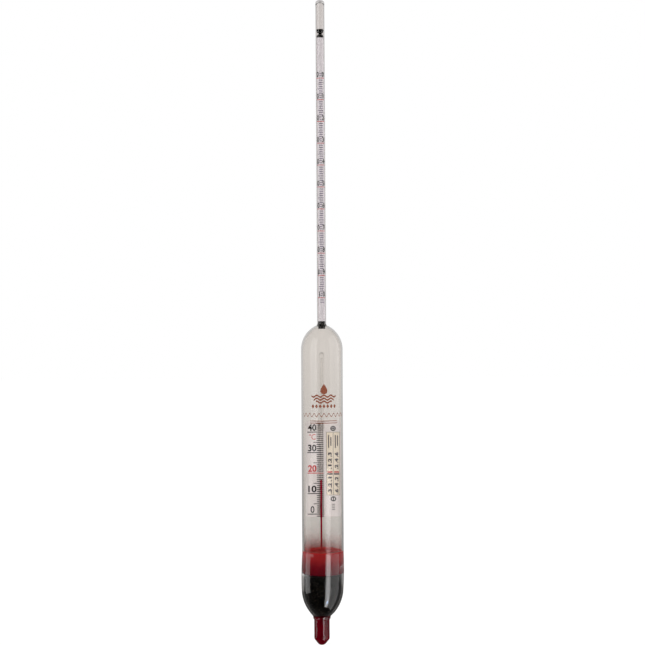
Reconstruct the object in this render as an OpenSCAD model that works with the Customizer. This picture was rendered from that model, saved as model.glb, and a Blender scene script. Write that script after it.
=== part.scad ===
// Glass hydrometer with a built-in thermometer, for brewing and wine making.
// A sealed float: a slim stem with a density scale, a body tube with a temperature card, and a
// ballast bulb of shot under wax, through which the thermometer's own bulb stands out at the foot.
// Millimetres, +Z up the stem, origin on the body's axis at the lowest point of the thermometer bulb.

/* [Float] */
// Length from the foot of the thermometer bulb to the top of the stem
total_h = 310; // [290:1:340]
// Outside diameter of the body tube
body_d = 20; // [19:0.5:21]
// Thickness of the glass of the body tube and the ballast bulb
glass_t = 0.8; // [0.6:0.1:1]
// Height at which the body tube starts to curve in to the stem
shoulder_z = 142; // [138:1:146]
// Radius of the shoulder's curve
shoulder_r = 12.7; // [12:0.1:13.5]
// Radius of the hollow curve where the shoulder meets the stem
stem_fillet_r = 1; // [0.6:0.1:1.4]

/* [Stem] */
// Outside diameter of the stem
stem_d = 4.3; // [4.2:0.1:4.6]
// Thickness of the glass of the stem
stem_t = 0.42; // [0.38:0.01:0.45]
// Thickness of the closed end of the stem
stem_end_t = 0.9; // [0.6:0.1:1.4]
// Radius of the corner round the closed end of the stem
stem_end_r = 1.5; // [1:0.1:1.8]
// Height of the lower end of the rolled paper scale
scale_z = 155.6; // [155:0.1:158]
// Length of the rolled paper scale
scale_h = 136.2; // [120:0.1:140]
// Thickness of the paper
paper_t = 0.12; // [0.1:0.01:0.2]
// Length of the black seal under the scale
lower_seal_h = 3.7; // [3:0.1:4]
// Length of the black seal over the scale
upper_seal_h = 4.1; // [3:0.1:5]
// Radius of the upper seal at its waist
upper_seal_waist_r = 0.5; // [0.4:0.1:1.2]

/* [Ballast bulb] */
// Outside diameter of the ballast bulb at its widest
bulb_d = 20.46; // [20.3:0.02:21.5]
// Height of the widest place of the ballast bulb
bulb_widest_z = 35; // [33:1:36]
// Height at which the ballast bulb is fused to the body tube
seam_z = 45; // [44:0.5:46]
// Radius of the long barrel curve of the ballast bulb
barrel_r = 183; // [150:1:200]
// Radius of the curve that closes the ballast bulb below
bowl_r = 18.3; // [18:0.1:20]
// Height at which the barrel curve turns into the lower curve
bowl_z = 26.5; // [26:0.5:28]
// Lean of the ballast bulb to the thermometer's side, about its seam, degrees
bulb_lean = 0.9; // [0:0.1:1.2]
// Height of the top of the shot
shot_z = 34.8; // [33:0.1:36]
// Height of the flat of the wax that covers the shot
wax_z = 44.4; // [43:0.1:46]
// Height by which the edge of the wax climbs the glass
wax_rise = 1; // [0.6:0.1:1.4]

/* [Thermometer] */
// Distance of the thermometer to the side of the body's axis
therm_x = -0.7; // [-0.8:0.1:-0.2]
// Outside diameter of the thermometer bulb
tip_d = 7.4; // [7:0.1:7.6]
// Height at which the thermometer bulb is fused into the ballast bulb
neck_z = 12.5; // [12.2:0.1:12.6]
// Radius of the bead of fused glass round the thermometer bulb's neck
neck_bead_r = 0.5; // [0.4:0.05:0.6]
// Thickness of the glass of the thermometer bulb
tip_t = 0.5; // [0.4:0.1:0.6]
// Slope of the taper at the foot of the thermometer bulb, degrees from upright
taper_a = 38; // [35:1:42]
// Radius of the rounded foot under the taper
foot_r = 2.7; // [2.4:0.1:2.9]
// Radius of the bend over the taper
bend_r = 1.2; // [0.9:0.1:1.5]
// Outside diameter of the thermometer's capillary tube
capillary_d = 2.4; // [2.2:0.1:2.5]
// Height of the top of the capillary tube
capillary_z = 140.8; // [136:0.2:142]
// Thickness of the closed end of the capillary tube
capillary_end_t = 3; // [1:0.5:8]
// Diameter of the capillary tube's bore
bore_d = 0.68; // [0.64:0.02:0.7]
// Diameter of the moving thread of spirit
thread_d = 0.6; // [0.58:0.01:0.61]
// Height of the top of the thread of spirit, 17 degrees on the card
thread_top_z = 79.4; // [79:0.1:84]
// Length of the thread of spirit
thread_h = 59.4; // [56:0.1:60]

/* [Temperature card] */
// Width of the card
card_w = 17; // [16:0.1:17.2]
// Height of the card
card_h = 46; // [44:0.5:47]
// Height of the lower edge of the card
card_z = 61.4; // [60:0.1:62]
// Distance of the card's middle to the side of the body's axis
card_x = 0.45; // [0.2:0.05:0.5]
// Thickness of the card
card_t = 0.25; // [0.2:0.01:0.3]
// Width of the correction slip on the card
slip_w = 6.8; // [6:0.1:7]
// Height of the correction slip on the card
slip_h = 30.6; // [28:0.1:32]
// Height of the lower edge of the correction slip
slip_z = 71.7; // [70:0.1:72]
// Gap between the correction slip and the right edge of the card
slip_margin = 0.35; // [0.3:0.05:0.6]

/* [Hidden] */
$fn = 96;

fit = 0.02;                                // bare gap between a fill and the glass round it
long_fn = 1440;                            // fine enough for the barrel curve's large circle
body_r = body_d / 2;
stem_r = stem_d / 2;
stem_bore_r = stem_r - stem_t;
tip_r = tip_d / 2;
bore_r = bore_d / 2;
capillary_r = capillary_d / 2;

// Shoulder: a circle about a point beyond the axis, which meets the body tube upright.
shoulder_x = body_r - shoulder_r;
fillet_x = stem_r + stem_fillet_r;
fillet_z = shoulder_z + sqrt(pow(shoulder_r + stem_fillet_r, 2) - pow(fillet_x - shoulder_x, 2));
touch = shoulder_r / (shoulder_r + stem_fillet_r);
touch_x = shoulder_x + (fillet_x - shoulder_x) * touch;
touch_z = shoulder_z + (fillet_z - shoulder_z) * touch;

// Ballast bulb: a barrel curve above, and a tighter curve that runs on from it below.
barrel_x = bulb_d / 2 - barrel_r;
barrel_a = asin((bulb_widest_z - bowl_z) / barrel_r);
bowl_x = barrel_x + (barrel_r - bowl_r) * cos(barrel_a);
bowl_c_z = bulb_widest_z - (barrel_r - bowl_r) * sin(barrel_a);

// Thermometer bulb: the taper touches the rounded foot below it and the bend above it.
foot_tan_x = foot_r * cos(taper_a);
foot_tan_z = foot_r * (1 - sin(taper_a));
bend_x = tip_r - bend_r;
bend_tan_x = bend_x + bend_r * cos(taper_a);
bend_z = foot_tan_z + (bend_tan_x - foot_tan_x) / tan(taper_a) + bend_r * sin(taper_a);
tip_top_z = neck_z + 1.5;                  // where the thermometer bulb starts to close in
tip_end_z = tip_top_z + 3.4;               // where it has become the capillary tube
spirit_end_z = tip_end_z - 0.5;            // where the spirit of the bulb gives way to the bore
taper_sink = 0.003;                        // sets the taper in a hair, so it cuts both curves cleanly
thread_well_z = 3;                         // floor of the room for the thread in the bulb's spirit

card_y = capillary_r + 0.05;               // the card lies just behind the capillary tube
slip_t = 0.1;
cement_h = 2.6;
cement_inset = 1.2;                        // from the card's end to the cement

// Upright rectangle in the profile plane, from the axis out to r.
module bar(r, z0, z1) {
    translate([0, z0]) square([r, z1 - z0]);
}

// The half of the profile plane on the outer side of the axis.
module outer_side(z0, z1) {
    bar(2 * body_r, z0, z1);
}

// Solid outline of the body tube and shoulder, set in by `inset` from the outer surface.
module body_outline(inset) {
    bar(body_r - inset, seam_z, shoulder_z);
    intersection() {
        translate([shoulder_x, shoulder_z]) circle(shoulder_r - inset);
        outer_side(shoulder_z, shoulder_z + shoulder_r);
    }
}

module body_tube() {
    color("gainsboro", 0.4) rotate_extrude($fn = 180) difference() {
        union() {
            body_outline(0);
            difference() {
                polygon([[0, shoulder_z], [touch_x, touch_z], [fillet_x, fillet_z], [0, fillet_z]]);
                translate([fillet_x, fillet_z]) circle(stem_fillet_r);
            }
        }
        body_outline(glass_t);
        bar(stem_bore_r, shoulder_z, fillet_z + 1);
    }
}

module stem_tube() {
    corner_z = total_h - stem_end_r;
    color("gainsboro", 0.4) rotate_extrude() difference() {
        union() {
            bar(stem_r, fillet_z, corner_z);
            bar(stem_r - stem_end_r, corner_z, total_h);
            intersection() {
                translate([stem_r - stem_end_r, corner_z]) circle(stem_end_r);
                outer_side(corner_z, total_h);
            }
        }
        bar(stem_bore_r, fillet_z, total_h - stem_end_t - stem_bore_r);
        intersection() {
            translate([0, total_h - stem_end_t - stem_bore_r]) circle(stem_bore_r);
            outer_side(fillet_z, total_h);
        }
    }
}

// Solid outline of the ballast bulb, set in by `inset` from the outer surface. It runs on a little
// over the seam, so that it still reaches the seam all round when the bulb leans.
module bulb_outline(inset) {
    join_z = bulb_widest_z - (barrel_r - inset) * sin(barrel_a);
    intersection() {
        translate([barrel_x, bulb_widest_z]) circle(barrel_r - inset, $fn = long_fn);
        outer_side(join_z, seam_z + 1);
    }
    intersection() {
        translate([bowl_x, bowl_c_z]) circle(bowl_r - inset, $fn = 360);
        outer_side(neck_z, join_z);
    }
}

// Turns the ballast bulb's outline into a leaning solid, and keeps what lies between two heights.
module leaning(z0, z1) {
    intersection() {
        translate([0, 0, seam_z]) rotate([0, bulb_lean, 0]) translate([0, 0, -seam_z])
            rotate_extrude($fn = 180) children();
        translate([0, 0, z0]) cylinder(r = 2 * body_r, h = z1 - z0);
    }
}

module ballast_bulb() {
    color("gainsboro", 0.4) difference() {
        union() {
            leaning(0, seam_z) difference() {
                bulb_outline(0);
                bulb_outline(glass_t);
            }
            translate([therm_x, 0, neck_z + neck_bead_r]) rotate_extrude() {
                translate([tip_r, 0]) circle(neck_bead_r, $fn = 48);
            }
        }
        translate([therm_x, 0, 0]) rotate_extrude() {
            bar(tip_r, 0, tip_top_z);
            tip_cone(tip_r, capillary_r);
        }
    }
}

// Outline of the thermometer bulb up to height z1, set in by `inset` from the outer surface.
module tip_outline(inset, z1) {
    intersection() {
        translate([0, foot_r]) circle(foot_r - inset);
        outer_side(0, foot_r);
    }
    translate([bend_x, bend_z]) circle(bend_r - inset);
    foot_side = foot_r - inset - taper_sink;
    bend_side = bend_r - inset - taper_sink;
    polygon([
        [0, foot_r],
        [foot_side * cos(taper_a), foot_r - foot_side * sin(taper_a)],
        [bend_x + bend_side * cos(taper_a), bend_z - bend_side * sin(taper_a)],
        [tip_r - inset, bend_z],
        [tip_r - inset, z1],
        [0, z1]
    ]);
}

// Cone that closes the thermometer bulb in to the capillary tube.
module tip_cone(r0, r1) {
    polygon([[0, tip_top_z], [r0, tip_top_z], [r1, tip_end_z], [0, tip_end_z]]);
}

module thermometer_bulb() {
    color("firebrick", 0.5) translate([therm_x, 0, 0]) rotate_extrude() difference() {
        union() {
            tip_outline(0, tip_top_z);
            tip_cone(tip_r, capillary_r);
        }
        tip_outline(tip_t, tip_top_z);
        tip_cone(tip_r - tip_t, bore_r);
    }
}

module bulb_spirit() {
    inset = tip_t + fit;
    color("darkred") translate([therm_x, 0, 0]) rotate_extrude() difference() {
        union() {
            tip_outline(inset, tip_top_z);
            tip_cone(tip_r - inset, bore_r);
        }
        bar(bore_r, thread_well_z, tip_end_z + 1);
        outer_side(spirit_end_z, tip_end_z + 1);
    }
}

module capillary_tube() {
    dome_z = capillary_z - capillary_r;
    color("gainsboro", 0.5) translate([therm_x, 0, 0]) rotate_extrude() difference() {
        union() {
            bar(capillary_r, tip_end_z, dome_z);
            intersection() {
                translate([0, dome_z]) circle(capillary_r);
                outer_side(dome_z, capillary_z);
            }
        }
        bar(bore_r, tip_end_z, capillary_z - capillary_end_t);
    }
}

module spirit_thread() {
    thread_r = thread_d / 2;
    color("crimson") translate([therm_x, 0, thread_top_z - thread_h]) {
        cylinder(r = thread_r, h = thread_h - thread_r);
        translate([0, 0, thread_h - thread_r]) sphere(thread_r);
    }
}

// What lies loose inside the ballast bulb leaves room for the thermometer that passes through it.
module around_thermometer() {
    difference() {
        children();
        translate([therm_x, 0, 0]) rotate_extrude() {
            bar(tip_r + fit, 0, tip_top_z);
            tip_cone(tip_r + fit, capillary_r + fit);
            bar(capillary_r + fit, tip_end_z, seam_z + wax_rise + 1);
        }
    }
}

module ballast_shot() {
    color("dimgray") around_thermometer() leaning(neck_z, shot_z) bulb_outline(glass_t + fit);
}

module ballast_wax() {
    wax_r = body_r - glass_t - 3 * fit;
    color("firebrick") around_thermometer() difference() {
        union() {
            leaning(shot_z, seam_z - 0.8) bulb_outline(glass_t + fit);
            translate([0, 0, seam_z - 1]) cylinder(r = wax_r, h = wax_z + wax_rise - seam_z + 1, $fn = 180);
        }
        rotate_extrude($fn = 180) {
            bar(wax_r - wax_rise, wax_z, wax_z + wax_rise + 1);
            translate([wax_r - wax_rise, wax_z + wax_rise]) circle(wax_rise - fit);
        }
    }
}

module stem_scale() {
    scale_r = stem_bore_r - fit;
    color("whitesmoke") translate([0, 0, scale_z]) rotate_extrude() {
        translate([scale_r - paper_t, 0]) square([paper_t, scale_h]);
    }
}

module stem_seal_lower() {
    color("black") translate([0, 0, scale_z - lower_seal_h])
        cylinder(r = stem_bore_r - fit, h = lower_seal_h);
}

module stem_seal_upper() {
    seal_r = stem_bore_r - fit;
    half_h = upper_seal_h / 2;
    rim_h = 0.35;
    side = half_h - rim_h;
    depth = seal_r - upper_seal_waist_r;
    hollow_r = (side * side + depth * depth) / (2 * depth);
    color("black") translate([0, 0, scale_z + scale_h]) rotate_extrude() difference() {
        square([seal_r, upper_seal_h]);
        translate([upper_seal_waist_r + hollow_r, half_h]) circle(hollow_r);
    }
}

module temperature_card() {
    color("white") translate([card_x - card_w / 2, card_y, card_z]) cube([card_w, card_t, card_h]);
}

module correction_slip() {
    slip_x = card_x + card_w / 2 - slip_margin - slip_w;
    color("wheat") translate([slip_x, card_y - slip_t, slip_z]) cube([slip_w, slip_t, slip_h]);
}

// Bead of clear cement that holds the card to the back of the capillary tube.
module card_cement(z) {
    color("ivory") translate([therm_x, 0, z]) difference() {
        intersection() {
            cylinder(r = card_y + 0.5, h = cement_h);
            translate([-capillary_d, 0.4, 0]) cube([2 * capillary_d, card_y - 0.4, cement_h]);
        }
        translate([0, 0, -1]) cylinder(r = capillary_r + fit, h = cement_h + 2);
    }
}

module card_cement_upper() {
    card_cement(card_z + card_h - cement_inset - cement_h);
}

module card_cement_lower() {
    card_cement(card_z + cement_inset);
}

body_tube();
stem_tube();
ballast_bulb();
thermometer_bulb();
bulb_spirit();
capillary_tube();
spirit_thread();
ballast_shot();
ballast_wax();
stem_scale();
stem_seal_lower();
stem_seal_upper();
temperature_card();
correction_slip();
card_cement_upper();
card_cement_lower();
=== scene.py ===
import math
import random

import bmesh
import bpy
from mathutils import Euler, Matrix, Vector


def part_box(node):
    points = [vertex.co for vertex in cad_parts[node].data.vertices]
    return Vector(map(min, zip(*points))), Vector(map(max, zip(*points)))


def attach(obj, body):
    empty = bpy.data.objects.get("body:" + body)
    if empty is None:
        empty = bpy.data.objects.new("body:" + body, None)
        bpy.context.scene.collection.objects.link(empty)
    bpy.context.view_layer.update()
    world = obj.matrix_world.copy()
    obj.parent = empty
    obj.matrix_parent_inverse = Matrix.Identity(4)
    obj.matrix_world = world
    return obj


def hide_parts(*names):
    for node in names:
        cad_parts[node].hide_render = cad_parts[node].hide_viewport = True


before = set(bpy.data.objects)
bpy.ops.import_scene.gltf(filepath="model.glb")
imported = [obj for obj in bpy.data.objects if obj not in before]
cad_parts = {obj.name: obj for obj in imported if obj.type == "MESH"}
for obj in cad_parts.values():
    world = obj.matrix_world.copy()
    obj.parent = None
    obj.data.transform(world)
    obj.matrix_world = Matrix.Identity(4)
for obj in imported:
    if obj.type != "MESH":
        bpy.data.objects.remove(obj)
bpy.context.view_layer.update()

# The object is worked out in millimetres, and turned into metres as a mesh is made.
# The lights and the camera are placed in metres.
MM = 0.001
# A point this near the axis is on it.
ON_AXIS = 1e-6


def box_mm(node):
    low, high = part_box(node)
    return low / MM, high / MM


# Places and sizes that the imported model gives.
body_low, body_high = box_mm("body_tube")
stem_low, stem_high = box_mm("stem_tube")
bulb_low, bulb_high = box_mm("ballast_bulb")
tip_low, tip_high = box_mm("thermometer_bulb")
capillary_low, capillary_high = box_mm("capillary_tube")
thread_low, thread_high = box_mm("spirit_thread")
shot_low, shot_high = box_mm("ballast_shot")
wax_low, wax_high = box_mm("ballast_wax")
paper_low, paper_high = box_mm("stem_scale")
lower_seal_low, lower_seal_high = box_mm("stem_seal_lower")
upper_seal_low, upper_seal_high = box_mm("stem_seal_upper")
card_low, card_high = box_mm("temperature_card")
slip_low, slip_high = box_mm("correction_slip")

BODY_R = body_high.x
SEAM_Z = body_low.z
FILLET_Z = body_high.z
STEM_R = stem_high.x
TOP_Z = stem_high.z
BULB_R = bulb_high.y
NECK_Z = bulb_low.z
TIP_R = (tip_high.x - tip_low.x) / 2
TIP_X = (tip_high.x + tip_low.x) / 2
CAPILLARY_R = (capillary_high.x - capillary_low.x) / 2
CAPILLARY_Z = capillary_high.z
SHOT_Z = shot_high.z
PAPER_R = paper_high.x

# Heights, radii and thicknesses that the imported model's boxes don't show.
GLASS_T = 0.8
STEM_T = 0.42
STEM_END_T = 0.9
STEM_END_R = 1.5
SHOULDER_Z = 142
SHOULDER_R = 12.7
STEM_FILLET_R = 1.0
BARREL_R = 183
BARREL_Z = 35
BOWL_R = 18.3
BOWL_Z = 26.5
BULB_LEAN = math.radians(0.9)
NECK_BEAD_R = 0.5
TAPER_A = math.radians(38)
FOOT_R = 2.7
BEND_R = 1.2
TIP_T = 0.5
TIP_CONE_Z = NECK_Z + 1.5
WAX_Z = 44.4
MENISCUS_R = 1.0
FILM_Z = 58
FILM_T = 0.06
# How much of the view each face of the wax film covers, from its foot to its top.
FILM_COVER = ((0.0, 0.5), (0.2, 0.25), (0.45, 0.11), (0.58, 0.045), (1.0, 0.0))
GRAIN_R = 0.31
BORE_TOP_Z = CAPILLARY_Z - 3
# Floor of the well in the bulb's spirit, just under the lowest place that the thread reaches.
WELL_Z = 2.9
# The thread is a hair wider than its bore, so that no air shows between spirit and glass.
BORE_R = 0.325
THREAD_R = 0.33

# The capillary tube is straight as far up as its thread can rise, and then bends back towards the axis.
BEND_FROM_Z = thread_high.z + 24
TOP_SWAY = 0.55

# How far a bonded filling reaches into the glass, so that no air shows between them.
BOND = 0.04
# How far printing stands off what it is printed on.
INK_GAP = 0.012


# ---------------------------------------------------------------- outlines

def arc(cx, cz, r, start, end, steps):
    """Points on a circle, from one angle to another, both included."""
    points = []
    for i in range(steps + 1):
        a = start + (end - start) * i / steps
        points.append((cx + r * math.cos(a), cz + r * math.sin(a)))
    return points


def upright(r, z0, z1, steps):
    """Points on a line parallel to the axis."""
    return [(r, z0 + (z1 - z0) * i / steps) for i in range(steps + 1)]


def smooth(t):
    """From 0 to 1 with a soft start and end."""
    t = min(max(t, 0), 1)
    return t * t * (3 - 2 * t)


SHOULDER_X = BODY_R - SHOULDER_R
FILLET_X = STEM_R + STEM_FILLET_R
TOUCH_A = math.atan2(FILLET_Z - SHOULDER_Z, FILLET_X - SHOULDER_X)
STEM_BORE_R = STEM_R - STEM_T
BARREL_X = BULB_R - BARREL_R
BARREL_A = math.asin((BARREL_Z - BOWL_Z) / BARREL_R)
BOWL_X = BARREL_X + (BARREL_R - BOWL_R) * math.cos(BARREL_A)
BOWL_CZ = BARREL_Z - (BARREL_R - BOWL_R) * math.sin(BARREL_A)
BEND_X = TIP_R - BEND_R
FOOT_TAN = (FOOT_R * math.cos(TAPER_A), FOOT_R * (1 - math.sin(TAPER_A)))
BEND_TAN_X = BEND_X + BEND_R * math.cos(TAPER_A)
BEND_Z = FOOT_TAN[1] + (BEND_TAN_X - FOOT_TAN[0]) / math.tan(TAPER_A) + BEND_R * math.sin(TAPER_A)


def body_outer():
    outline = upright(BODY_R, SEAM_Z, SHOULDER_Z, 24)
    outline += arc(SHOULDER_X, SHOULDER_Z, SHOULDER_R, 0, TOUCH_A, 40)[1:]
    outline += arc(FILLET_X, FILLET_Z, STEM_FILLET_R, TOUCH_A + math.pi, math.pi, 10)[1:]
    return outline


def body_inner():
    r = SHOULDER_R - GLASS_T
    throat_a = math.acos((STEM_BORE_R - SHOULDER_X) / r)
    outline = upright(BODY_R - GLASS_T, SEAM_Z, SHOULDER_Z, 24)
    outline += arc(SHOULDER_X, SHOULDER_Z, r, 0, throat_a, 36)[1:]
    return outline + [(STEM_BORE_R, FILLET_Z)]


def stem_outer():
    corner_z = TOP_Z - STEM_END_R
    outline = upright(STEM_R, FILLET_Z, corner_z, 30)
    outline += arc(STEM_R - STEM_END_R, corner_z, STEM_END_R, 0, math.pi / 2, 12)[1:]
    return outline + [(0, TOP_Z)]


def stem_inner():
    dome_z = TOP_Z - STEM_END_T - STEM_BORE_R
    outline = upright(STEM_BORE_R, FILLET_Z, dome_z, 30)
    dome = arc(0, dome_z, STEM_BORE_R, 0, math.pi / 2, 12)[1:-1]
    return outline + dome + [(0, dome_z + STEM_BORE_R)]


def bowl_outline(inset, r_low, z_high=None):
    """The ballast bulb's wall from radius r_low near the neck up to the seam, set in by inset."""
    r_bowl = BOWL_R - inset
    r_barrel = BARREL_R - inset
    low_a = -math.acos((r_low - BOWL_X) / r_bowl)
    top_a = math.asin((SEAM_Z - BARREL_Z) / BARREL_R)
    outline = arc(BOWL_X, BOWL_CZ, r_bowl, low_a, -BARREL_A, 36)
    outline += arc(BARREL_X, BARREL_Z, r_barrel, -BARREL_A, top_a, 20)[1:]
    if z_high is not None:
        outline = [p for p in outline if p[1] < z_high]
    return outline


def bulb_outer():
    bead = arc(TIP_R, NECK_Z + NECK_BEAD_R, NECK_BEAD_R, -math.pi / 2, math.radians(30), 8)
    return bead + bowl_outline(0, TIP_R + 0.65)


def chamber_floor():
    """From the ballast bulb's inner wall over the root of the thermometer to its capillary tube."""
    return [(TIP_R - 0.1, TIP_CONE_Z + 0.25), (TIP_R - 0.75, TIP_CONE_Z + 0.65), (CAPILLARY_R, tip_high.z)]


def tip_outline(inset):
    foot = arc(0, FOOT_R, FOOT_R - inset, -math.pi / 2, -TAPER_A, 14)
    bend = arc(BEND_X, BEND_Z, BEND_R - inset, -TAPER_A, 0, 8)
    return [(0, inset)] + foot[1:] + bend + upright(TIP_R - inset, BEND_Z, NECK_Z, 8)[1:]


def bulb_shift(r, z):
    """The ballast bulb leans about its seam, and meets the thermometer at its neck."""
    lean = (z - SEAM_Z) * math.tan(BULB_LEAN) if z < SEAM_Z else 0
    return lean + (TIP_X - lean) * (1 - smooth((z - NECK_Z - 0.5) / 4))


def thermometer_shift(r, z):
    """The thermometer stands beside the axis, and its top bends back."""
    return TIP_X + TOP_SWAY * smooth((z - BEND_FROM_Z) / (CAPILLARY_Z - BEND_FROM_Z))


def filling_shift(r, z):
    """Fits a filling to the ballast bulb outside and to the thermometer inside."""
    return TIP_X if r < 2 else bulb_shift(r, z)


# ---------------------------------------------------------------- meshes

def make_piece(name, verts, faces, material, smooth_angle=40):
    """A mesh object from points in millimetres."""
    mesh = bpy.data.meshes.new(name)
    mesh.from_pydata([(x * MM, y * MM, z * MM) for x, y, z in verts], [], faces)
    mesh.validate()
    mesh.polygons.foreach_set("use_smooth", [True] * len(mesh.polygons))
    mesh.set_sharp_from_angle(angle=math.radians(smooth_angle))
    mesh.materials.append(material)
    piece = bpy.data.objects.new(name, mesh)
    bpy.context.scene.collection.objects.link(piece)
    return piece


def revolve(outlines, shift=lambda r, z: 0.0, segments=144, ripple=None):
    """Turns outlines about an upright axis. An outline that goes up faces away from the axis.

    One that ends where it began makes a closed ring."""
    verts = []
    faces = []
    for outline in outlines:
        rings = []
        for r, z in outline:
            if rings and len(rings) == len(outline) - 1 and outline[0] == outline[-1]:
                rings.append(rings[0])
                continue
            if r < ON_AXIS:
                rings.append([len(verts)])
                verts.append((shift(r, z), 0.0, z))
                continue
            ring = []
            for i in range(segments):
                a = 2 * math.pi * i / segments
                grown = r + (ripple(a, z) if ripple else 0)
                ring.append(len(verts))
                verts.append((shift(r, z) + grown * math.cos(a), grown * math.sin(a), z))
            rings.append(ring)
        for low, high in zip(rings, rings[1:]):
            for i in range(segments):
                j = (i + 1) % segments
                if len(low) == 1:
                    faces.append((low[0], high[j], high[i]))
                elif len(high) == 1:
                    faces.append((low[i], low[j], high[0]))
                else:
                    faces.append((low[i], low[j], high[j], high[i]))
    return verts, faces


def keep(piece, body, slot, *nodes):
    """The piece moves with a body, and stands for CAD nodes, which it hides. The slot is not used."""
    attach(piece, body)
    if nodes:
        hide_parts(*nodes)


# ---------------------------------------------------------------- materials

def new_material(name):
    mat = bpy.data.materials.new(name)
    mat.use_nodes = True
    tree = mat.node_tree
    return mat, tree, tree.nodes["Principled BSDF"]


def place(tree, scale=(1, 1, 1)):
    """Object coordinates, stretched, with one unit to the millimetre at scale 1."""
    coords = tree.nodes.new("ShaderNodeTexCoord")
    mapping = tree.nodes.new("ShaderNodeMapping")
    mapping.inputs["Scale"].default_value = [s / MM for s in scale]
    tree.links.new(coords.outputs["Object"], mapping.inputs["Vector"])
    return mapping.outputs["Vector"]


def split_axes(tree, space="Object"):
    """The X, Y and Z of a surface point in metres, or of a direction for the world's Generated space."""
    coords = tree.nodes.new("ShaderNodeTexCoord")
    split = tree.nodes.new("ShaderNodeSeparateXYZ")
    tree.links.new(coords.outputs[space], split.inputs["Vector"])
    return split.outputs


def noise(tree, vector, scale, detail=3.0, roughness=0.5):
    node = tree.nodes.new("ShaderNodeTexNoise")
    node.inputs["Scale"].default_value = scale
    node.inputs["Detail"].default_value = detail
    node.inputs["Roughness"].default_value = roughness
    tree.links.new(vector, node.inputs["Vector"])
    return node.outputs["Fac"]


def ramp(tree, factor, stops):
    """A colour ramp: stops are (position, (r, g, b))."""
    node = tree.nodes.new("ShaderNodeValToRGB")
    elements = node.color_ramp.elements
    while len(elements) < len(stops):
        elements.new(0.5)
    for element, (position, colour) in zip(elements, stops):
        element.position = position
        element.color = (*colour, 1)
    tree.links.new(factor, node.inputs["Fac"])
    return node.outputs["Color"]


def grey_ramp(tree, factor, stops):
    """The same for a plain number: stops are (position, value)."""
    return ramp(tree, factor, [(position, (value, value, value)) for position, value in stops])


def span(tree, value, low, high, from_low=0.0, from_high=1.0):
    """Carries a value from one range over to another, and clamps it there."""
    node = tree.nodes.new("ShaderNodeMapRange")
    node.inputs["From Min"].default_value = from_low
    node.inputs["From Max"].default_value = from_high
    node.inputs["To Min"].default_value = low
    node.inputs["To Max"].default_value = high
    tree.links.new(value, node.inputs["Value"])
    return node.outputs["Result"]


def product(tree, a, b):
    node = tree.nodes.new("ShaderNodeMath")
    node.operation = "MULTIPLY"
    tree.links.new(a, node.inputs[0])
    tree.links.new(b, node.inputs[1])
    return node.outputs["Value"]


def bump(tree, height, strength, distance_mm):
    node = tree.nodes.new("ShaderNodeBump")
    node.inputs["Strength"].default_value = strength
    node.inputs["Distance"].default_value = distance_mm * MM
    tree.links.new(height, node.inputs["Height"])
    return node.outputs["Normal"]


def srgb(r, g, b):
    """A colour given as 0 to 255 on screen, as the linear numbers that shaders take."""
    def linear(c):
        c /= 255
        return c / 12.92 if c <= 0.04045 else ((c + 0.055) / 1.055) ** 2.4
    return linear(r), linear(g), linear(b)


def glass(name, tint, ior, streak_mm=0.004):
    """Drawn glass: clear, with long faint streaks along the tube, which are streak_mm deep at most."""
    mat, tree, shader = new_material(name)
    streaks = noise(tree, place(tree, (1, 1, 0.03)), 0.45, 2)
    pale = [min(1, c * 1.02) for c in tint]
    deep = [c * 0.98 for c in tint]
    tree.links.new(ramp(tree, streaks, [(0.35, deep), (0.65, pale)]), shader.inputs["Base Color"])
    shader.inputs["Transmission Weight"].default_value = 1
    shader.inputs["IOR"].default_value = ior
    dust = noise(tree, place(tree), 3.0, 4)
    tree.links.new(span(tree, dust, 0.0, 0.03, 0.45, 0.8), shader.inputs["Roughness"])
    tree.links.new(bump(tree, streaks, 0.25, streak_mm), shader.inputs["Normal"])
    return mat


def paper(name, colour, fibre=0.04):
    """Smooth coated paper with faint fibres and a little mottling."""
    mat, tree, shader = new_material(name)
    fibres = noise(tree, place(tree), 2.5, 6, 0.65)
    dark = [c * (1 - fibre) for c in colour]
    tree.links.new(ramp(tree, fibres, [(0.35, dark), (0.65, colour)]), shader.inputs["Base Color"])
    shader.inputs["Roughness"].default_value = 0.72
    shader.inputs["Specular IOR Level"].default_value = 0.3
    tree.links.new(bump(tree, fibres, 0.12, 0.01), shader.inputs["Normal"])
    return mat


def ink(name, colour, wear):
    """Printing ink that lies a little unevenly."""
    mat, tree, shader = new_material(name)
    cover = noise(tree, place(tree), 5.0, 4, 0.6)
    pale = [c + (0.75 - c) * wear for c in colour]
    tree.links.new(ramp(tree, cover, [(0.4, colour), (0.75, pale)]), shader.inputs["Base Color"])
    shader.inputs["Roughness"].default_value = 0.6
    shader.inputs["Specular IOR Level"].default_value = 0.3
    return mat


def spirit(name, deep, bright):
    """Dyed spirit behind glass, in faint upright swirls of two shades."""
    mat, tree, shader = new_material(name)
    swirl = noise(tree, place(tree, (1, 1, 0.3)), 0.6, 2)
    tree.links.new(ramp(tree, swirl, [(0.3, deep), (0.7, bright)]), shader.inputs["Base Color"])
    shader.inputs["Roughness"].default_value = 0.35
    shader.inputs["Specular IOR Level"].default_value = 0
    return mat


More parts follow.
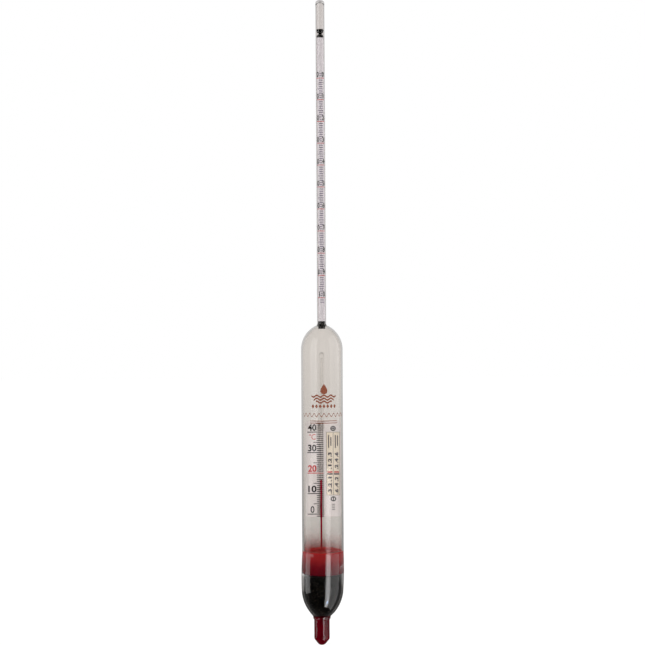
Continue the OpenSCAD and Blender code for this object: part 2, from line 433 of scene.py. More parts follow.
def sealing_wax(name):
    """Translucent red wax, brighter at its top where light gets in, with faint clouds."""
    mat, tree, shader = new_material(name)
    clouds = noise(tree, place(tree, (1, 1, 0.5)), 0.35, 3)
    height = span(tree, split_axes(tree)["Z"], 0, 1, SHOT_Z * MM, WAX_Z * MM)
    mixed = tree.nodes.new("ShaderNodeMath")
    mixed.operation = "MULTIPLY_ADD"
    mixed.inputs[1].default_value = 0.35
    tree.links.new(clouds, mixed.inputs[0])
    tree.links.new(height, mixed.inputs[2])
    stops = [(0.15, srgb(92, 0, 18)), (0.6, srgb(122, 8, 26)), (1.15, srgb(165, 34, 38))]
    tree.links.new(ramp(tree, mixed.outputs["Value"], stops), shader.inputs["Base Color"])
    shader.inputs["Subsurface Weight"].default_value = 0.25
    shader.inputs["Subsurface Radius"].default_value = (0.002, 0.0004, 0.0004)
    shader.inputs["Subsurface Scale"].default_value = 1.0
    shader.inputs["Specular IOR Level"].default_value = 1
    shader.inputs["Roughness"].default_value = 0.1
    tree.links.new(bump(tree, clouds, 0.2, 0.05), shader.inputs["Normal"])
    return mat


def wax_skin(name):
    """The thin film that the hot wax left on the glass: see-through, and fading out upwards."""
    mat, tree, shader = new_material(name)
    axes = split_axes(tree)
    clouds = noise(tree, place(tree, (1, 1, 0.6)), 0.8, 4)
    tint = ramp(tree, clouds, [(0.3, srgb(128, 30, 30)), (0.7, srgb(156, 52, 46))])
    tree.links.new(tint, shader.inputs["Base Color"])
    height = span(tree, axes["Z"], 0, 1, wax_high.z * MM, FILM_Z * MM)
    cover = grey_ramp(tree, height, FILM_COVER)
    patch = product(tree, cover, span(tree, clouds, 0.7, 1.3, 0.3, 0.7))
    # Painted light: the film is made more see-through towards the right, so that side shows lighter, as
    # where the light from the right falls on it.
    painted_light_right = product(tree, patch, span(tree, axes["X"], 1.1, 0.6, 0, 8 * MM))
    tree.links.new(painted_light_right, shader.inputs["Alpha"])
    shader.inputs["Roughness"].default_value = 0.6
    shader.inputs["Specular IOR Level"].default_value = 0.1
    return mat


def shot_metal(name):
    """Dark tarnished metal grit: each grain has its own shade, and a few are brown or bright."""
    mat, tree, shader = new_material(name)
    cells = tree.nodes.new("ShaderNodeTexVoronoi")
    cells.inputs["Scale"].default_value = 2.4
    tree.links.new(place(tree), cells.inputs["Vector"])
    shade = tree.nodes.new("ShaderNodeSeparateColor")
    tree.links.new(cells.outputs["Color"], shade.inputs["Color"])
    stops = [
        (0.0, srgb(12, 10, 9)), (0.55, srgb(26, 22, 20)), (0.8, srgb(44, 38, 34)),
        (0.93, srgb(66, 54, 47)), (1.0, srgb(104, 96, 90)),
    ]
    tree.links.new(ramp(tree, shade.outputs["Red"], stops), shader.inputs["Base Color"])
    shader.inputs["Metallic"].default_value = 0.35
    tree.links.new(span(tree, shade.outputs["Green"], 0.35, 0.7), shader.inputs["Roughness"])
    return mat


def black_cement(name):
    """Dull black sealing cement with a grainy face."""
    mat, tree, shader = new_material(name)
    grain = noise(tree, place(tree), 4.0, 5, 0.7)
    stops = [(0.35, srgb(24, 23, 22)), (0.55, srgb(48, 46, 44)), (0.75, srgb(88, 86, 82))]
    tree.links.new(ramp(tree, grain, stops), shader.inputs["Base Color"])
    tree.links.new(span(tree, grain, 0.5, 0.85), shader.inputs["Roughness"])
    tree.links.new(bump(tree, grain, 0.8, 0.06), shader.inputs["Normal"])
    return mat


def clear_cement(name):
    """A smear of clear cement, a little cloudy."""
    mat, tree, shader = new_material(name)
    clouds = noise(tree, place(tree), 1.5, 3)
    tint = ramp(tree, clouds, [(0.3, srgb(222, 216, 204)), (0.7, srgb(236, 232, 224))])
    tree.links.new(tint, shader.inputs["Base Color"])
    tree.links.new(span(tree, clouds, 0.06, 0.16, 0.3, 0.7), shader.inputs["Alpha"])
    shader.inputs["Roughness"].default_value = 0.3
    return mat


# Each glass bends light as much as its part of the object seems to, which isn't always as much as glass.
body_glass = glass("body_glass", srgb(247, 243, 239), 1.35)
stem_glass = glass("stem_glass", srgb(244, 240, 238), 1.42, 0.0005)
bulb_glass = glass("bulb_glass", srgb(246, 243, 240), 1.58)
tip_glass = glass("tip_glass", srgb(246, 240, 240), 1.38)
capillary_glass = glass("capillary_glass", srgb(254, 253, 252), 1.3)
scale_paper = paper("scale_paper", srgb(228, 227, 233))
card_paper = paper("card_paper", srgb(226, 223, 226))
slip_paper = paper("slip_paper", srgb(232, 224, 210), 0.06)
spirit_red = spirit("spirit_red", srgb(70, 0, 8), srgb(98, 2, 18))
thread_red = spirit("thread_red", srgb(120, 6, 30), srgb(150, 10, 40))
wax_red = sealing_wax("wax_red")
wax_film = wax_skin("wax_film")
shot_dark = shot_metal("shot_dark")
seal_black = black_cement("seal_black")
cement_clear = clear_cement("cement_clear")
ink_black = ink("ink_black", srgb(26, 22, 32), 0.1)
ink_soft = ink("ink_soft", srgb(58, 50, 68), 0.1)
ink_violet = ink("ink_violet", srgb(104, 92, 128), 0.1)
ink_red = ink("ink_red", srgb(196, 36, 44), 0.1)
ink_brown = ink("ink_brown", srgb(106, 48, 20), 0.04)


# ---------------------------------------------------------------- glass

def build_glass():
    """Each piece has its outer and inner face, and is open where it is fused to the next."""
    body = make_piece("body_glass", *revolve([body_outer(), body_inner()[::-1]]), body_glass)
    keep(body, "float", "body_glass", "body_tube")
    stem = make_piece("stem_glass", *revolve([stem_outer(), stem_inner()[::-1]], segments=96), stem_glass)
    keep(stem, "float", "stem_glass", "stem_tube")
    chamber = bowl_outline(GLASS_T, TIP_R + 0.15)[::-1]
    bulb = make_piece("bulb_glass", *revolve([bulb_outer(), chamber], bulb_shift), bulb_glass)
    keep(bulb, "float", "bulb_glass", "ballast_bulb")
    tip_walls = revolve([tip_outline(0), chamber_floor()], thermometer_shift, 96)
    tip = make_piece("tip_glass", *tip_walls, tip_glass)
    keep(tip, "float", "tip_glass", "thermometer_bulb")


def build_capillary():
    dome_z = CAPILLARY_Z - CAPILLARY_R
    outer = upright(CAPILLARY_R, tip_high.z, dome_z, 40)
    outer += arc(0, dome_z, CAPILLARY_R, 0, math.pi / 2, 12)[1:-1] + [(0, CAPILLARY_Z)]
    bore = upright(BORE_R, tip_high.z - 1, BORE_TOP_Z, 40) + [(0, BORE_TOP_Z + BORE_R)]
    tube_walls = revolve([outer, bore[::-1]], thermometer_shift, 48)
    tube = make_piece("capillary_glass", *tube_walls, capillary_glass)
    keep(tube, "float", "capillary_glass", "capillary_tube")


# ---------------------------------------------------------------- fillings

def build_spirit():
    """The bulb's fill has a well down its middle, in which the thread slides."""
    inset = TIP_T - BOND
    top = tip_high.z - 0.4
    well_r = THREAD_R + 0.03
    outline = tip_outline(inset) + [(TIP_R - inset, TIP_CONE_Z), (BORE_R + 0.3, top), (well_r, top)]
    outline += [(well_r, WELL_Z), (0, WELL_Z)]
    fill = make_piece("bulb_spirit_fill", *revolve([outline], thermometer_shift, 72), spirit_red)
    keep(fill, "float", "spirit", "bulb_spirit")
    dome_z = thread_high.z - THREAD_R
    outline = [(0, thread_low.z)] + upright(THREAD_R, thread_low.z, dome_z, 30)
    outline += arc(0, dome_z, THREAD_R, 0, math.pi / 2, 6)[1:-1] + [(0, thread_high.z)]
    thread = make_piece("spirit_column", *revolve([outline], thermometer_shift, 24), thread_red)
    keep(thread, "spirit", "thread", "spirit_thread")


def build_wax():
    """A ring of wax over the shot, which climbs a little where it meets the glass."""
    wall = bowl_outline(GLASS_T - BOND, TIP_R + 1)
    side = [p for p in wall if p[1] > SHOT_Z]
    wall_r = BODY_R - GLASS_T + BOND
    meniscus_z = WAX_Z + MENISCUS_R
    top = arc(wall_r - MENISCUS_R - 0.12, meniscus_z, MENISCUS_R, 0, -math.pi / 2, 8)
    inner_r = CAPILLARY_R - BOND
    collar = [(CAPILLARY_R + 0.5, WAX_Z), (CAPILLARY_R + 0.12, WAX_Z + 0.2), (inner_r, WAX_Z + 0.7)]
    outline = [(inner_r, SHOT_Z), (side[0][0], SHOT_Z)] + side[1:]
    outline += [(wall_r, meniscus_z)] + top + [(5, WAX_Z - 0.05)] + collar
    outline += outline[:1]
    ripple = lambda a, z: 0.03 * math.sin(3 * a + 1) * smooth((z - WAX_Z) / 0.3)
    plug = make_piece("wax_plug", *revolve([outline], filling_shift, 144, ripple), wax_red)
    keep(plug, "float", "wax", "ballast_wax")
    build_wax_film()


def build_wax_film():
    r = BODY_R - GLASS_T - 0.04
    outer = upright(r, wax_high.z, FILM_Z, 12)
    inner = upright(r - FILM_T, wax_high.z, FILM_Z, 12)[::-1]
    film = make_piece("wax_film", *revolve([outer + inner + outer[:1]]), wax_film)
    keep(film, "float", "wax")


def tip_wall(z):
    """The radius of the thermometer's glass where it passes through the shot."""
    t = (z - TIP_CONE_Z) / (tip_high.z - TIP_CONE_Z)
    return TIP_R + (CAPILLARY_R - TIP_R) * min(max(t, 0), 1)


def build_shot():
    """A dark core round the thermometer, with a layer of separate grains against the glass."""
    rng = random.Random(7)
    wall = bowl_outline(GLASS_T, TIP_R + 0.4, SHOT_Z)
    side = [(r - 1.3 * GRAIN_R, z) for r, z in wall if z > TIP_CONE_Z + 0.5]
    foot_z = side[0][1]
    clearance = 0.1
    inner_r = CAPILLARY_R + clearance
    core = [(tip_wall(foot_z) + clearance, foot_z)] + side
    core += [(inner_r, SHOT_Z - 0.2), (inner_r, tip_high.z)]
    core += core[:1]
    verts, faces = revolve([core], filling_shift, 96)
    ball = bmesh.new()
    bmesh.ops.create_icosphere(ball, subdivisions=1, radius=1)
    grain_verts = [v.co.copy() for v in ball.verts]
    grain_faces = [[v.index for v in f.verts] for f in ball.faces]
    ball.free()
    length = 0.0
    for (r0, z0), (r1, z1) in zip(wall, wall[1:]):
        length += math.hypot(r1 - r0, z1 - z0)
    rows = int(length / (1.62 * GRAIN_R))
    for row in range(rows + 1):
        r, z = point_along(wall, length * row / rows)
        count = max(6, int(2 * math.pi * r / (1.85 * GRAIN_R)))
        turn = rng.random()
        for i in range(count):
            a = 2 * math.pi * (i + turn + rng.uniform(-0.25, 0.25)) / count
            grown = GRAIN_R * rng.uniform(0.78, 1.12)
            inward = r - grown - rng.uniform(0.0, 0.16)
            x = bulb_shift(r, z) + inward * math.cos(a)
            centre = Vector((x, inward * math.sin(a), z + rng.uniform(-0.12, 0.12)))
            turned = Euler([rng.uniform(0, 2 * math.pi) for _ in range(3)]).to_matrix()
            stretch = Vector([rng.uniform(0.72, 1.12) for _ in range(3)]) * grown
            start = len(verts)
            for v in grain_verts:
                verts.append(tuple(centre + turned @ (v * stretch)))
            faces += [[start + k for k in f] for f in grain_faces]
    bed = make_piece("shot_grains", verts, faces, shot_dark, 75)
    keep(bed, "float", "shot", "ballast_shot")


def point_along(outline, distance):
    """The point on an outline at a distance from its start."""
    for (r0, z0), (r1, z1) in zip(outline, outline[1:]):
        step = math.hypot(r1 - r0, z1 - z0)
        if distance <= step:
            t = distance / step
            return r0 + (r1 - r0) * t, z0 + (z1 - z0) * t
        distance -= step
    return outline[-1]


# ---------------------------------------------------------------- paper and seals

def build_stem_paper():
    """A rolled sheet whose edges overlap at the back."""
    overlap = 0.6
    turn = 2 * math.pi + overlap
    steps = 150
    rows = 40
    thickness = 0.06
    tuck = 0.11
    verts = []
    faces = []
    for side in (0, 1):
        for i in range(steps + 1):
            a = math.pi / 2 + turn * (i / steps - 0.5) + math.pi
            r = PAPER_R - tuck * smooth(1 - i / steps * 8) - thickness * side
            for j in range(rows + 1):
                z = paper_low.z + (paper_high.z - paper_low.z) * j / rows
                verts.append((r * math.cos(a), r * math.sin(a), z))
    row = rows + 1
    half = (steps + 1) * row
    for i in range(steps):
        for j in range(rows):
            a0, b0 = i * row + j, (i + 1) * row + j
            faces.append((a0, b0, b0 + 1, a0 + 1))
            faces.append((half + a0, half + a0 + 1, half + b0 + 1, half + b0))
        for j in (0, rows):
            a0, b0 = i * row + j, (i + 1) * row + j
            rim = (a0, half + a0, half + b0, b0)
            faces.append(rim if j == 0 else rim[::-1])
    for i in (0, steps):
        for j in range(rows):
            a0 = i * row + j
            edge = (a0, a0 + 1, half + a0 + 1, half + a0)
            faces.append(edge if i == 0 else edge[::-1])
    roll = make_piece("stem_paper_roll", verts, faces, scale_paper, 30)
    keep(roll, "float", "scale_paper", "stem_scale")


def build_seals():
    """A plain plug under the paper, and one with a narrow waist over it."""
    low, high = lower_seal_low.z, lower_seal_high.z
    r = STEM_BORE_R - 0.03
    grain = lambda a, z: 0.03 * math.sin(9 * a + 3 * z) * math.sin(5 * z + 2 * a)
    outline = [(0, low + 0.1), (r - 0.35, low)] + arc(r - 0.2, low + 0.2, 0.2, -math.pi / 2, 0, 4)
    outline += upright(r, low + 0.3, high - 0.1, 16) + [(r - 0.15, high), (0, high)]
    seal = make_piece("lower_seal_plug", *revolve([outline], segments=60, ripple=grain), seal_black)
    keep(seal, "float", "seal", "stem_seal_lower")
    low, high = upper_seal_low.z, upper_seal_high.z
    lower_lobe = [(r, 0.35), (1.6, 0.9), (1.4, 1.3), (1.15, 1.65), (0.8, 1.9), (0.35, 1.98)]
    upper_lobe = [(0.35, 2.15), (0.95, 2.2), (1.25, 2.4), (1.4, 2.75), (1.6, 3.1), (r, 3.35)]
    outline = [(0, low), (r - 0.05, low)] + [(x, low + z) for x, z in lower_lobe + upper_lobe]
    outline += [(r, high - 0.2), (r - 0.1, high), (0, high)]
    seal = make_piece("upper_seal_plug", *revolve([outline], segments=60, ripple=grain), seal_black)
    keep(seal, "float", "seal", "stem_seal_upper")


def sheet(name, low, high, corner, material):
    """A flat upright sheet with rounded corners and softened edges."""
    width, depth, height = high - low
    middle = (low + high) / 2
    outline = []
    for cx, cz, start in ((1, -1, -90), (1, 1, 0), (-1, 1, 90), (-1, -1, 180)):
        x = middle.x + cx * (width / 2 - corner)
        z = middle.z + cz * (height / 2 - corner)
        outline += arc(x, z, corner, math.radians(start), math.radians(start + 90), 6)
    n = len(outline)
    soft = depth * 0.2
    layers = []
    for inset, y in ((soft, low.y), (0, low.y + soft), (0, high.y - soft), (soft, high.y)):
        fx = 1 - 2 * inset / width
        fz = 1 - 2 * inset / height
        layer = []
        for x, z in outline:
            layer.append((middle.x + (x - middle.x) * fx, y, middle.z + (z - middle.z) * fz))
        layers.append(layer)
    verts = [v for layer in layers for v in layer]
    faces = []
    for k in range(3):
        for i in range(n):
            j = (i + 1) % n
            faces.append((k * n + i, k * n + j, (k + 1) * n + j, (k + 1) * n + i))
    faces.append(tuple(range(n))[::-1])
    faces.append(tuple(3 * n + i for i in range(n)))
    faces = [face[::-1] for face in faces]
    return make_piece(name, verts, faces, material, 30)


def build_cards():
    card = sheet("card_sheet", card_low, card_high, 0.6, card_paper)
    keep(card, "float", "card_paper", "temperature_card")
    slip = sheet("slip_sheet", slip_low, slip_high, 0.2, slip_paper)
    keep(slip, "float", "slip_paper", "correction_slip")
    for node in ("card_cement_upper", "card_cement_lower"):
        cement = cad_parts[node]
        cement.data.materials.clear()
        cement.data.materials.append(cement_clear)


# ---------------------------------------------------------------- printing

class Print:
    """Flat printing in one ink: shapes are drawn in a plane and then laid on a card or round a tube."""

    def __init__(self, name, material, slot, lay, step=None):
        self.name = name
        self.material = material
        self.slot = slot
        self.lay = lay
        self.step = step
        self.mesh = bmesh.new()

    def polygon(self, points):
        self.mesh.faces.new([self.mesh.verts.new((u, 0, v)) for u, v in points])

    def bar(self, u0, u1, v, thick):
        self.polygon([(u0, v - thick / 2), (u1, v - thick / 2), (u1, v + thick / 2), (u0, v + thick / 2)])

    def pillar(self, u, v0, v1, thick):
        self.polygon([(u - thick / 2, v0), (u + thick / 2, v0), (u + thick / 2, v1), (u - thick / 2, v1)])

    def ring(self, u, v, ru, rv, thick, steps=28):
        for i in range(steps):
            a, b = 2 * math.pi * i / steps, 2 * math.pi * (i + 1) / steps
            inner = [(u + (ru - thick) * math.cos(t), v + (rv - thick) * math.sin(t)) for t in (b, a)]
            outer = [(u + ru * math.cos(t), v + rv * math.sin(t)) for t in (a, b)]
            self.polygon(outer + inner)

    def ribbon(self, points, thick):
        """A band of even thickness along points."""
        h = thick / 2
        for (u0, v0), (u1, v1) in zip(points, points[1:]):
            self.polygon([(u0, v0 - h), (u1, v1 - h), (u1, v1 + h), (u0, v0 + h)])

    def number(self, text, u, v, width, height, turned=False, bold=0.0):
        """A number whose middle is at u, v. Turned numbers read upwards."""
        curve = bpy.data.curves.new("number", "FONT")
        curve.body = text
        curve.offset = bold
        curve.resolution_u = 4
        holder = bpy.data.objects.new("number", curve)
        bpy.context.scene.collection.objects.link(holder)
        bpy.context.view_layer.update()
        flat = bpy.data.meshes.new_from_object(holder)
        xs = [p.co.x for p in flat.vertices]
        ys = [p.co.y for p in flat.vertices]
        x_mid, y_mid = (min(xs) + max(xs)) / 2, (min(ys) + max(ys)) / 2
        sx, sy = width / (max(xs) - min(xs)), height / (max(ys) - min(ys))
        placed = []
        for p in flat.vertices:
            x, y = (p.co.x - x_mid) * sx, (p.co.y - y_mid) * sy
            x, y = (-y, x) if turned else (x, y)
            placed.append(self.mesh.verts.new((u + x, 0, v + y)))
        for face in flat.polygons:
            self.mesh.faces.new([placed[i] for i in face.vertices])
        bpy.data.objects.remove(holder)
        bpy.data.curves.remove(curve)
        bpy.data.meshes.remove(flat)

    def finish(self):
        if self.step:
            self.slice()
        self.mesh.verts.index_update()
        verts = [self.lay(v.co.x, v.co.z) for v in self.mesh.verts]
        faces = [[v.index for v in f.verts] for f in self.mesh.faces]
        self.mesh.free()
        piece = make_piece(self.name, verts, faces, self.material, 180)
        keep(piece, "float", self.slot)

    def slice(self):
        """Cuts the shapes into narrow upright strips, so that they bend round a tube."""
        us = [v.co.x for v in self.mesh.verts]
        u = min(us) + self.step
        while u < max(us):
            parts = self.mesh.verts[:] + self.mesh.edges[:] + self.mesh.faces[:]
            bmesh.ops.bisect_plane(self.mesh, geom=parts, plane_co=(u, 0, 0), plane_no=(1, 0, 0), dist=1e-5)
            u += self.step


def on_card(front_y):
    """Lays u and v on the front of a card."""
    return lambda u, v: (u, front_y - INK_GAP, v)


def round_tube(r, turn=0.0):
    """Lays u along the girth of a tube, with u = 0 facing the reader."""
    def lay(u, v):
        a = u / r + turn
        return (r * math.sin(a), -r * math.cos(a), v)
    return lay


# Temperature scale: height of the zero line, the step of one degree, and the last line.
ZERO_Z = 62.7
DEGREE = 0.988
WARMEST = 44
# Where the lines of tens, fives and ones start, where all of them end, and the numbers' middle.
LINE_LEFT, HALF_LEFT, TICK_LEFT, TICK_RIGHT = -7.3, -4.4, -2.8, -0.05
LABEL_U = -4.95
LABEL_H = 3.3


def print_card():
    black = Print("card_print", ink_black, "card_paper", on_card(card_low.y))
    red = Print("card_print_red", ink_red, "card_paper", on_card(card_low.y))
    for degree in range(-1, WARMEST + 1):
        z = ZERO_Z + degree * DEGREE
        left, thick = TICK_LEFT, 0.42
        if degree % 5 == 0:
            left, thick = HALF_LEFT, 0.36
        if degree % 10 == 0:
            left, thick = LINE_LEFT, 0.42
        if degree == 20:
            red.bar(left, TICK_RIGHT, z, 0.42)
        else:
            black.bar(left, TICK_RIGHT, z, thick)
    for degree, pen in ((0, black), (10, black), (20, red), (30, black), (40, black)):
        width = 1.9 if degree == 0 else 4.1
        middle = ZERO_Z + degree * DEGREE + 0.55 + LABEL_H / 2
        pen.number(str(degree), LABEL_U, middle, width, LABEL_H, bold=0.03 if degree else 0.012)
    unit_z = ZERO_Z + 40 * DEGREE - 2.3
    red.ring(LABEL_U - 1.0, unit_z + 0.9, 0.42, 0.42, 0.16)
    red.number("C", LABEL_U + 0.7, unit_z, 2.1, 2.7)
    black.finish()
    red.finish()
    print_signs()


def print_signs():
    """The signs that say which way a reading is corrected: add above the table, take off below."""
    sign = Print("card_print_signs", ink_black, "card_paper", on_card(card_low.y))
    u = (slip_low.x + slip_high.x) / 2
    above, below = slip_high.z + 1.6, slip_low.z - 1.7
    for v in (above, below):
        sign.ring(u, v, 1.35, 1.22, 0.5)
        sign.pillar(u, v - 0.75, v + 0.75, 0.42)
    sign.bar(u - 0.8, u + 0.8, above, 0.42)
    for i in range(4):
        sign.bar(u - 0.75, u + 0.75, below - 2.6 - 0.85 * i, 0.3)
    sign.finish()


def print_slip():
    """A ruled table of two columns: corrections in tenths, and plain rules where it has words."""
    black = Print("slip_print", ink_soft, "slip_paper", on_card(slip_low.y))
    red = Print("slip_print_red", ink_red, "slip_paper", on_card(slip_low.y))
    left, right = slip_low.x + 0.15, slip_high.x - 0.15
    low, high = slip_low.z + 0.15, slip_high.z - 0.15
    middle = (left + right) / 2
    for u in (left, middle, right):
        black.pillar(u, low, high, 0.16)
    for v in (low, high):
        black.bar(left, right, v, 0.16)
    mark_z = ZERO_Z + 20 * DEGREE
    columns = ((left + middle) / 2, (middle + right) / 2)
    for column, u in enumerate(columns):
        for row in (-3, -2, -1, 1, 2, 3):
            size = abs(row) * (2 if column else 1)
            black.number(f"{size / 10:.1f}"[1:], u, mark_z + row * 2.95, 2.3, 1.8, turned=True, bold=0.05)
        red.bar(u - 1.2, u + 1.2, mark_z + 0.5, 0.7)
        black.bar(u - 1.3, u + 1.3, mark_z - 0.45, 0.7)
        black.pillar(u - 0.55, high - 7.6, high - 1.4, 0.5)
        black.pillar(u + 0.55, high - 6.6, high - 2.4 + 0.8 * column, 0.5)
    black.finish()
    red.finish()


# Density scale: heights of the first and last red lines, how many there are, and the first number.
TOP_LINE_Z = 272.3
BOTTOM_LINE_Z = 166.9
LINES = 11
FIRST_NUMBER = 1000
# Numbers stand a little over their line, in two halves with the ticks between them.
NUMBER_RISE = 1.75
NUMBER_U = 1.62
TICK_T = 0.34
# Printing bends round the paper roll in strips this wide.
ROLL_STRIP = 0.12


def line_z(index):
    """Height of the scale at line `index`. The steps grow a little longer towards the bottom."""
    t = index / (LINES - 1)
    stretched = t + 0.018 * t * (t - 1)
    return TOP_LINE_Z + (BOTTOM_LINE_Z - TOP_LINE_Z) * stretched


def print_stem():
    """Red lines all round with ticks between them, numbers in front, and a second row of them behind."""
    r = PAPER_R + INK_GAP
    front = round_tube(r)
    soft = Print("stem_print", ink_violet, "scale_paper", front, ROLL_STRIP)
    dark = Print("stem_numbers", ink_black, "scale_paper", front, ROLL_STRIP)
    red = Print("stem_print_red", ink_red, "scale_paper", front, ROLL_STRIP)
    half_turn = math.pi * r
    for line in range(LINES):
        z = line_z(line)
        red.bar(-half_turn, half_turn, z, 0.32)
        text = str(FIRST_NUMBER + 10 * line)
        for digits, u in ((text[:2], -NUMBER_U), (text[2:], NUMBER_U), (str(5 * line), half_turn)):
            dark.number(digits, u, z + NUMBER_RISE, 1.9, 2.6, bold=0.035)
        last = 2 if line == LINES - 1 else 9
        for tick in range(1, last + 1):
            v = line_z(line + tick / 10)
            by_number = tick >= 8 and line < LINES - 1
            left, right = (-0.5, 0.5) if by_number else (-0.75, 1.15)
            if tick == 5:
                left, right = -1.3, 1.3
            soft.bar(left, right, v, TICK_T)
    for tick in range(1, 3):
        soft.bar(-0.5, 0.5, line_z(-tick / 10), TICK_T)
    for pen in (soft, dark, red):
        pen.finish()


# A plain ornament in place of any mark or words: a drop over waves, with a row of lozenges under them.
MARK_Z = 121.5
MARK_TURN = math.radians(5)


def print_glass():
    """The ornament, and below it a wavy band and two rules."""
    pen = Print("glass_print", ink_brown, "body_glass", round_tube(BODY_R + INK_GAP, MARK_TURN), 0.5)
    drop = []
    for i in range(33):
        t = i / 32
        a = 2 * math.pi * t
        drop.append((2.3 * math.sin(a) * math.sin(a / 2) ** 1.3, MARK_Z + 2.0 + 2.5 * math.cos(a)))
    for (u0, v0), (u1, v1) in zip(drop, drop[1:]):
        if abs(v0 - v1) > 1e-6:
            pen.polygon([(0, v0), (u0, v0), (u1, v1), (0, v1)])
    for row in range(3):
        reach = 6.1 - 1.1 * row
        pen.ribbon(wave(reach, MARK_Z - 1.4 - 1.4 * row, 0.42, 3.4), 0.8)
    for i in range(7):
        u, v = -5.4 + 1.8 * i, MARK_Z - 6.2
        pen.polygon([(u, v - 1.05), (u + 0.7, v), (u, v + 1.05), (u - 0.7, v)])
    pen.ribbon(wave(11.9, MARK_Z - 10.4, 0.75, 2.4), 0.42)
    for below in (13.2, 14.2):
        pen.bar(-6.9, 6.9, MARK_Z - below, 0.34)
    pen.finish()


def wave(reach, v, rise, length):
    """Points on a wave from -reach to reach."""
    steps = int(reach * 16)
    points = []
    for i in range(steps + 1):
        u = -reach + 2 * reach * i / steps
        points.append((u, v + rise * math.cos(u * 2 * math.pi / length)))
    return points


# ---------------------------------------------------------------- stage

def build_floor():
    """Pale and even. The glass doesn't show it, so that the object stands clear against the backdrop."""
    mat, tree, shader = new_material("pale_floor")
    grain = noise(tree, place(tree), 0.02, 3)
    pale = ramp(tree, grain, [(0.3, (0.085, 0.085, 0.085)), (0.7, (0.09, 0.09, 0.09))])
    tree.links.new(pale, shader.inputs["Base Color"])
    shader.inputs["Roughness"].default_value = 0.9
    shader.inputs["Specular IOR Level"].default_value = 0
    shader.inputs["Emission Color"].default_value = (1, 1, 1, 1)
    shader.inputs["Emission Strength"].default_value = 0.9
    reach, z = 3000, -0.2
    corners = [(-reach, -reach, z), (reach, -reach, z), (reach, reach, z), (-reach, reach, z)]
    floor = make_piece("floor", corners, [(0, 1, 2, 3)], mat)
    floor.visible_glossy = False
    floor.visible_transmission = False


def over_half(tree, value):
    """1 where a value is over a half, and 0 elsewhere."""
    test = tree.nodes.new("ShaderNodeMath")
    test.operation = "GREATER_THAN"
    test.inputs[1].default_value = 0.5
    tree.links.new(value, test.inputs[0])
    return test.outputs["Value"]


def choose(tree, test, if_not, if_so):
    """One brightness or the other. Either may be a number or a socket."""
    node = tree.nodes.new("ShaderNodeMix")
    tree.links.new(test, node.inputs["Factor"])
    for value, socket in ((if_not, node.inputs["A"]), (if_so, node.inputs["B"])):
        if isinstance(value, float):
            socket.default_value = value
        else:
            tree.links.new(value, socket)
    return node.outputs["Result"]


# Brightness of the room from the front (0) to the back (1), in reflections that run about level,
# and in those that fall more steeply.
ROOM_BY_TUBE = ((0.25, 0.02), (0.5, 0.06), (0.6, 0.25), (0.75, 0.45), (0.95, 0.6))
ROOM_BY_BULB = ((0.25, 0.02), (0.5, 0.2), (0.56, 0.4), (0.68, 0.9), (0.8, 0.95), (0.92, 0.6), (1.0, 0.3))
# The second of them is dimmed by how a reflection falls, from steeply (0) to gently (1).
ROOM_BY_FALL = ((0.1, 0.1), (0.35, 0.35), (0.62, 0.5), (0.7, 0.5), (0.76, 1.0))
# Brightness of the room as dull surfaces gather it.
ROOM_ON_DULL = 1.55


def build_world():
    """A white room whose front is dark in reflections, and a backdrop that is greyer through glass."""
    world = bpy.data.worlds.new("studio")
    bpy.context.scene.world = world
    world.use_nodes = True
    tree = world.node_tree
    tree.nodes.clear()
    out = tree.nodes.new("ShaderNodeOutputWorld")
    room = tree.nodes.new("ShaderNodeBackground")
    room.inputs["Color"].default_value = (1, 1, 1, 1)
    axes = split_axes(tree, "Generated")
    rise = axes["Z"]
    depth = span(tree, axes["Y"], 0, 1, -1, 1)
    by_tube = product(tree, grey_ramp(tree, depth, ROOM_BY_TUBE), span(tree, rise, 0.5, 1, -0.17, -0.04))
    fall = grey_ramp(tree, span(tree, rise, 0, 1, -0.24, -0.16), ROOM_BY_FALL)
    by_bulb = product(tree, grey_ramp(tree, depth, ROOM_BY_BULB), fall)
    falling = over_half(tree, span(tree, rise, 1, 0, -0.176, -0.168))
    mirrored = choose(tree, falling, by_tube, by_bulb)
    backdrop = span(tree, rise, 0.6, 0.8, -0.17, -0.02)
    path = tree.nodes.new("ShaderNodeLightPath")
    through_glass = choose(tree, over_half(tree, path.outputs["Transmission Depth"]), 1.0, backdrop)
    seen = choose(tree, over_half(tree, path.outputs["Glossy Depth"]), through_glass, mirrored)
    strength = choose(tree, over_half(tree, path.outputs["Diffuse Depth"]), seen, ROOM_ON_DULL)
    tree.links.new(strength, room.inputs["Strength"])
    tree.links.new(room.outputs["Background"], out.inputs["Surface"])


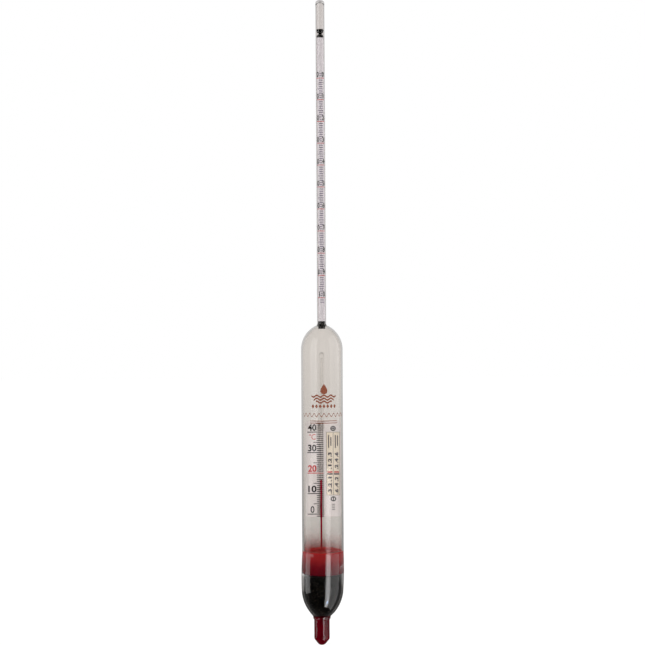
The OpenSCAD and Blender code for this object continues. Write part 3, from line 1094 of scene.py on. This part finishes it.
def softbox(from_a, to_a, low, high, brightness, distance=0.8, colour=(1, 1, 1)):
    """An upright soft light between two angles, in degrees to the right of the reader, and two heights.

    Heights and the distance from the axis are in metres. Only reflections show the light itself."""
    middle = math.radians((from_a + to_a) / 2)
    width = 2 * distance * math.sin(math.radians(abs(to_a - from_a) / 2))
    light = bpy.data.lights.new("softbox", "AREA")
    light.shape = "RECTANGLE"
    light.color = colour
    light.size = width
    light.size_y = high - low
    light.energy = brightness * math.pi * width * (high - low)
    holder = bpy.data.objects.new("softbox", light)
    holder.location = (distance * math.sin(middle), -distance * math.cos(middle), (low + high) / 2)
    target = Vector((0, 0, (low + high) / 2))
    holder.rotation_euler = (target - holder.location).to_track_quat("-Z", "Y").to_euler()
    holder.visible_camera = False
    holder.visible_transmission = False
    bpy.context.scene.collection.objects.link(holder)


def build_lights():
    """The upper lights show on the stem and the upper body, and the lower ones from there down."""
    top, bottom = 1.0, -1.3
    # Upper right and upper left.
    softbox(40, 112, 0, top, 1.5)
    softbox(-66, -28, 0, top, 2.6)
    # Lower right: a broad light with a brighter core, and a dimmer one beside them.
    softbox(13, 48, bottom, 0, 2.5)
    softbox(20, 40, bottom, 0, 3.1, 0.79)
    softbox(48, 100, bottom, 0, 1.1)
    # Lower left: a short light and a strip.
    softbox(-80, -56, -0.02, 0, 1.7)
    softbox(-108, -72, -0.2, -0.02, 1.5)
    # A bluish glint on the ballast bulb.
    softbox(28, 38, -0.85, -0.6, 11, 0.78, (0.4, 0.62, 1))


def build_camera():
    """Level with the middle of the object, which fills the height of the frame and leans a little."""
    distance = 0.64
    frame_height = TOP_Z * MM * 1.001
    side = 0.0004
    lean = math.radians(0.33)
    camera = bpy.data.cameras.new("camera")
    camera.sensor_width = 36
    camera.lens = camera.sensor_width * distance / frame_height
    camera.clip_start = 0.01
    holder = bpy.data.objects.new("camera", camera)
    holder.location = (side, -distance, TOP_Z / 2 * MM)
    holder.rotation_euler = (math.pi / 2, lean, 0)
    bpy.context.scene.collection.objects.link(holder)
    bpy.context.scene.camera = holder


build_camera()
build_world()
build_floor()
build_lights()
scene = bpy.context.scene
scene.view_settings.view_transform = "Standard"
# Light crosses many walls of glass on its way to the cards and back.
scene.cycles.max_bounces = 32
scene.cycles.transmission_bounces = 32
scene.cycles.glossy_bounces = 8

build_glass()
build_capillary()
build_spirit()
build_wax()
build_shot()
build_stem_paper()
build_seals()
build_cards()
print_card()
print_slip()
print_stem()
print_glass()
